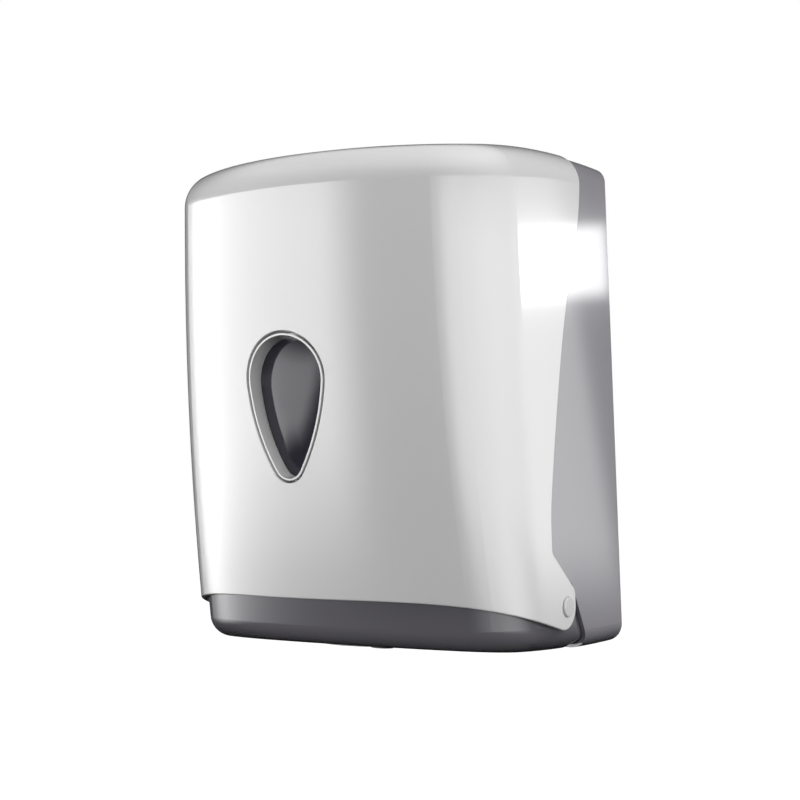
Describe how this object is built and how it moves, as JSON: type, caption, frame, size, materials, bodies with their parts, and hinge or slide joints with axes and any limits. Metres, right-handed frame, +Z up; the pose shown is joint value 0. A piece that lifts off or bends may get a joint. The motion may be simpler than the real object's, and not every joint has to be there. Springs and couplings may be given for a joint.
{
  "type": "centrefeed roll dispenser",
  "caption": "Wall-hung dispenser for centrefeed paper rolls: a hinged, locking front cover with a teardrop window over a tray with a paper nozzle.",
  "frame": {"origin": "centre of the four wall screws, on the wall face of the back shell", "axes": "+Z up, +Y into the wall, +X to the right seen from the front; the front faces -Y"},
  "size_m": [0.2686, 0.2273, 0.3499],
  "materials": {
    "white_plastic": "white glossy moulded plastic",
    "grey_plastic": "grey satin moulded plastic",
    "inner_plastic": "light grey moulded plastic",
    "dark_plastic": "black moulded plastic",
    "smoked_lens": "smoked clear plastic",
    "plated_steel": "zinc plated steel",
    "lock_metal": "chromed die-cast metal"
  },
  "bodies": {
    "housing": {"back_shell": "grey_plastic", "base_tray": "grey_plastic", "tray_screws": "plated_steel", "paper_nozzle": "dark_plastic", "nozzle_ring": "dark_plastic", "nozzle_screws": "plated_steel", "hinge_bush_left": "inner_plastic", "hinge_bush_right": "inner_plastic", "lock_keeper": "plated_steel", "keeper_screws": "plated_steel"},
    "cover": {"front_cover": "white_plastic", "window_bezel": "inner_plastic", "window_lens": "smoked_lens", "lens_frame": "inner_plastic", "lens_clips": "plated_steel", "hinge_pin_left": "white_plastic", "hinge_pin_right": "white_plastic", "pin_clip_left": "plated_steel", "pin_clip_right": "plated_steel", "lock_body": "lock_metal", "lock_nut": "lock_metal"},
    "lock": {"lock_plug": "lock_metal", "lock_cam": "plated_steel", "cam_washer": "plated_steel", "cam_screw": "plated_steel"}
  },
  "joints": [
    {"name": "cover_hinge", "type": "hinge", "parent": "housing", "child": "cover", "pos_m": [0, -0.089, -0.1575], "axis": [1, 0, 0], "range_deg": [0, 95]},
    {"name": "lock_turn", "type": "hinge", "parent": "cover", "child": "lock", "pos_m": [0, -0.078, 0.13], "axis": [0, 0, -1], "range_deg": [0, 90]}
  ]
}
